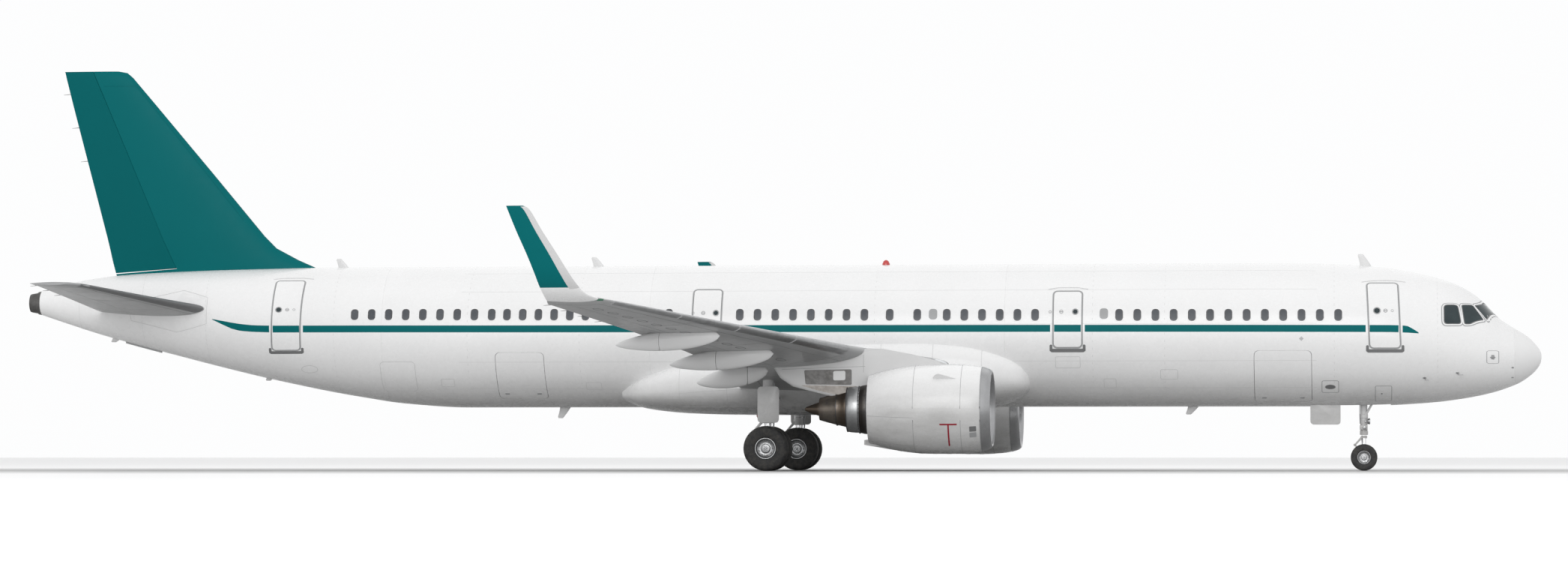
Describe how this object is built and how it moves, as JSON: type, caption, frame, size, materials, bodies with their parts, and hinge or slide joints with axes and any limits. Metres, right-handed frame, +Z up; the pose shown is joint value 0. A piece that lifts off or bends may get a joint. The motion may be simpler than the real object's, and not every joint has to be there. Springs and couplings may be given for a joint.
{
  "type": "twin-engined narrow-body airliner, 1:2 scale model",
  "caption": "Stretched twin-engined narrow-body airliner at half size, parked on its wheels, with turning fans and wheels, steering, flaps, control surfaces and hold doors.",
  "frame": {"origin": "on the ground under the middle of the bounding box", "axes": "+X towards the nose, +Y to the left (port) wing, +Z up"},
  "size_m": [22.255, 17.9188, 5.935],
  "materials": {
    "paint_white": "gloss white airline paint",
    "paint_grey": "light grey paint",
    "paint_teal": "gloss teal paint",
    "polished_metal": "polished bare metal",
    "hot_metal": "heat-stained nozzle metal",
    "titanium": "brushed titanium blades",
    "gear_steel": "machined steel and chrome",
    "cockpit_glass": "dark coated glass",
    "tyre_rubber": "black tyre rubber"
  },
  "bodies": {
    "airframe": {"radome": "paint_white", "forward_fuselage": "paint_white", "centre_fuselage": "paint_white", "aft_fuselage": "paint_white", "tail_cone": "paint_white", "apu_exhaust": "hot_metal", "belly_fairing": "paint_grey", "cockpit_glazing": "cockpit_glass", "passenger_door_1_right": "paint_white", "passenger_door_1_left": "paint_white", "passenger_door_2_right": "paint_white", "passenger_door_2_left": "paint_white", "passenger_door_3_right": "paint_white", "passenger_door_3_left": "paint_white", "passenger_door_4_right": "paint_white", "passenger_door_4_left": "paint_white", "fin": "paint_teal", "nose_gear_leg": "paint_white", "nose_gear_door_right": "paint_white", "nose_gear_door_left": "paint_white", "wing_right": "paint_grey", "winglet_right": "paint_teal", "tailplane_right": "paint_grey", "pylon_right": "paint_grey", "inlet_lip_right": "polished_metal", "cowl_right": "paint_white", "engine_core_right": "hot_metal", "main_gear_leg_right": "paint_white", "wing_left": "paint_grey", "winglet_left": "paint_teal", "tailplane_left": "paint_grey", "pylon_left": "paint_grey", "inlet_lip_left": "polished_metal", "cowl_left": "paint_white", "engine_core_left": "hot_metal", "main_gear_leg_left": "paint_white"},
    "fan_left": {"fan_left": "titanium"},
    "main_wheels_left": {"main_wheels_left": "gear_steel", "main_tyre_left_inner": "tyre_rubber", "main_tyre_left_outer": "tyre_rubber"},
    "flap_inboard_left": {"flap_inboard_left": "paint_grey"},
    "flap_outboard_left": {"flap_outboard_left": "paint_grey"},
    "aileron_left": {"aileron_left": "paint_grey"},
    "elevator_left": {"elevator_left": "paint_grey"},
    "fan_right": {"fan_right": "titanium"},
    "main_wheels_right": {"main_wheels_right": "gear_steel", "main_tyre_right_inner": "tyre_rubber", "main_tyre_right_outer": "tyre_rubber"},
    "flap_inboard_right": {"flap_inboard_right": "paint_grey"},
    "flap_outboard_right": {"flap_outboard_right": "paint_grey"},
    "aileron_right": {"aileron_right": "paint_grey"},
    "elevator_right": {"elevator_right": "paint_grey"},
    "rudder": {"rudder": "paint_teal"},
    "nose_gear_strut": {"nose_gear_strut": "gear_steel"},
    "nose_wheels": {"nose_wheels": "gear_steel", "nose_tyre_right": "tyre_rubber", "nose_tyre_left": "tyre_rubber"},
    "hold_door_forward": {"hold_door_forward": "paint_white"},
    "hold_door_aft": {"hold_door_aft": "paint_white"}
  },
  "joints": [
    {"name": "fan_left_spin", "type": "hinge", "parent": "airframe", "child": "fan_left", "pos_m": [2.9775, 2.875, 0.865], "axis": [1, 0, 0], "continuous": true},
    {"name": "main_wheels_left_spin", "type": "hinge", "parent": "airframe", "child": "main_wheels_left", "pos_m": [0.1775, 1.8975, 0.3175], "axis": [0, 1, 0], "continuous": true},
    {"name": "flap_inboard_left_extend", "type": "hinge", "parent": "airframe", "child": "flap_inboard_left", "pos_m": [0.0275, 1.2, 1.015], "axis": [0, -0.9922, -0.1247], "range_deg": [0, 35]},
    {"name": "flap_outboard_left_extend", "type": "hinge", "parent": "airframe", "child": "flap_outboard_left", "pos_m": [-0.2275, 4.15, 1.415], "axis": [0.37, -0.9171, -0.1486], "range_deg": [0, 35]},
    {"name": "aileron_left_turn", "type": "hinge", "parent": "airframe", "child": "aileron_left", "pos_m": [-1.1525, 6.375, 2.005], "axis": [0.3688, -0.9221, -0.1172], "range_deg": [-25, 25]},
    {"name": "elevator_left_turn", "type": "hinge", "parent": "airframe", "child": "elevator_left", "pos_m": [-9.4475, 0.675, 2.39], "axis": [0.2425, -0.9639, -0.1099], "range_deg": [-30, 17]},
    {"name": "fan_right_spin", "type": "hinge", "parent": "airframe", "child": "fan_right", "pos_m": [2.9775, -2.875, 0.865], "axis": [1, 0, 0], "continuous": true},
    {"name": "main_wheels_right_spin", "type": "hinge", "parent": "airframe", "child": "main_wheels_right", "pos_m": [0.1775, -1.8975, 0.3175], "axis": [0, 1, 0], "continuous": true},
    {"name": "flap_inboard_right_extend", "type": "hinge", "parent": "airframe", "child": "flap_inboard_right", "pos_m": [0.0275, -1.2, 1.015], "axis": [0, -0.9922, 0.1247], "range_deg": [0, 35]},
    {"name": "flap_outboard_right_extend", "type": "hinge", "parent": "airframe", "child": "flap_outboard_right", "pos_m": [-0.2275, -4.15, 1.415], "axis": [-0.37, -0.9171, 0.1486], "range_deg": [0, 35]},
    {"name": "aileron_right_turn", "type": "hinge", "parent": "airframe", "child": "aileron_right", "pos_m": [-1.1525, -6.375, 2.005], "axis": [-0.3688, -0.9221, 0.1172], "range_deg": [-25, 25]},
    {"name": "elevator_right_turn", "type": "hinge", "parent": "airframe", "child": "elevator_right", "pos_m": [-9.4475, -0.675, 2.39], "axis": [-0.2425, -0.9639, 0.1099], "range_deg": [-30, 17]},
    {"name": "rudder_turn", "type": "hinge", "parent": "airframe", "child": "rudder", "pos_m": [-8.9625, 0, 2.98], "axis": [-0.412, 0, 0.9112], "range_deg": [-25, 25]},
    {"name": "nose_steering", "type": "hinge", "parent": "airframe", "child": "nose_gear_strut", "pos_m": [8.5925, 0, 0.51], "axis": [0, 0, 1], "range_deg": [-75, 75]},
    {"name": "nose_wheels_spin", "type": "hinge", "parent": "nose_gear_strut", "child": "nose_wheels", "pos_m": [8.5925, 0, 0.1905], "axis": [0, 1, 0], "continuous": true},
    {"name": "hold_door_forward_lift", "type": "hinge", "parent": "airframe", "child": "hold_door_forward", "pos_m": [7.4475, -0.96426, 1.71], "axis": [-1, 0, 0], "range_deg": [0, 110]},
    {"name": "hold_door_aft_lift", "type": "hinge", "parent": "airframe", "child": "hold_door_aft", "pos_m": [-3.5825, -0.96426, 1.71], "axis": [-1, 0, 0], "range_deg": [0, 110]}
  ],
  "couplings": [
    {"joint": "flap_inboard_left_extend", "follows": "flap_outboard_left_extend", "ratio": 1},
    {"joint": "flap_inboard_right_extend", "follows": "flap_outboard_left_extend", "ratio": 1},
    {"joint": "flap_outboard_right_extend", "follows": "flap_outboard_left_extend", "ratio": 1},
    {"joint": "aileron_right_turn", "follows": "aileron_left_turn", "ratio": -1},
    {"joint": "elevator_right_turn", "follows": "elevator_left_turn", "ratio": 1}
  ]
}
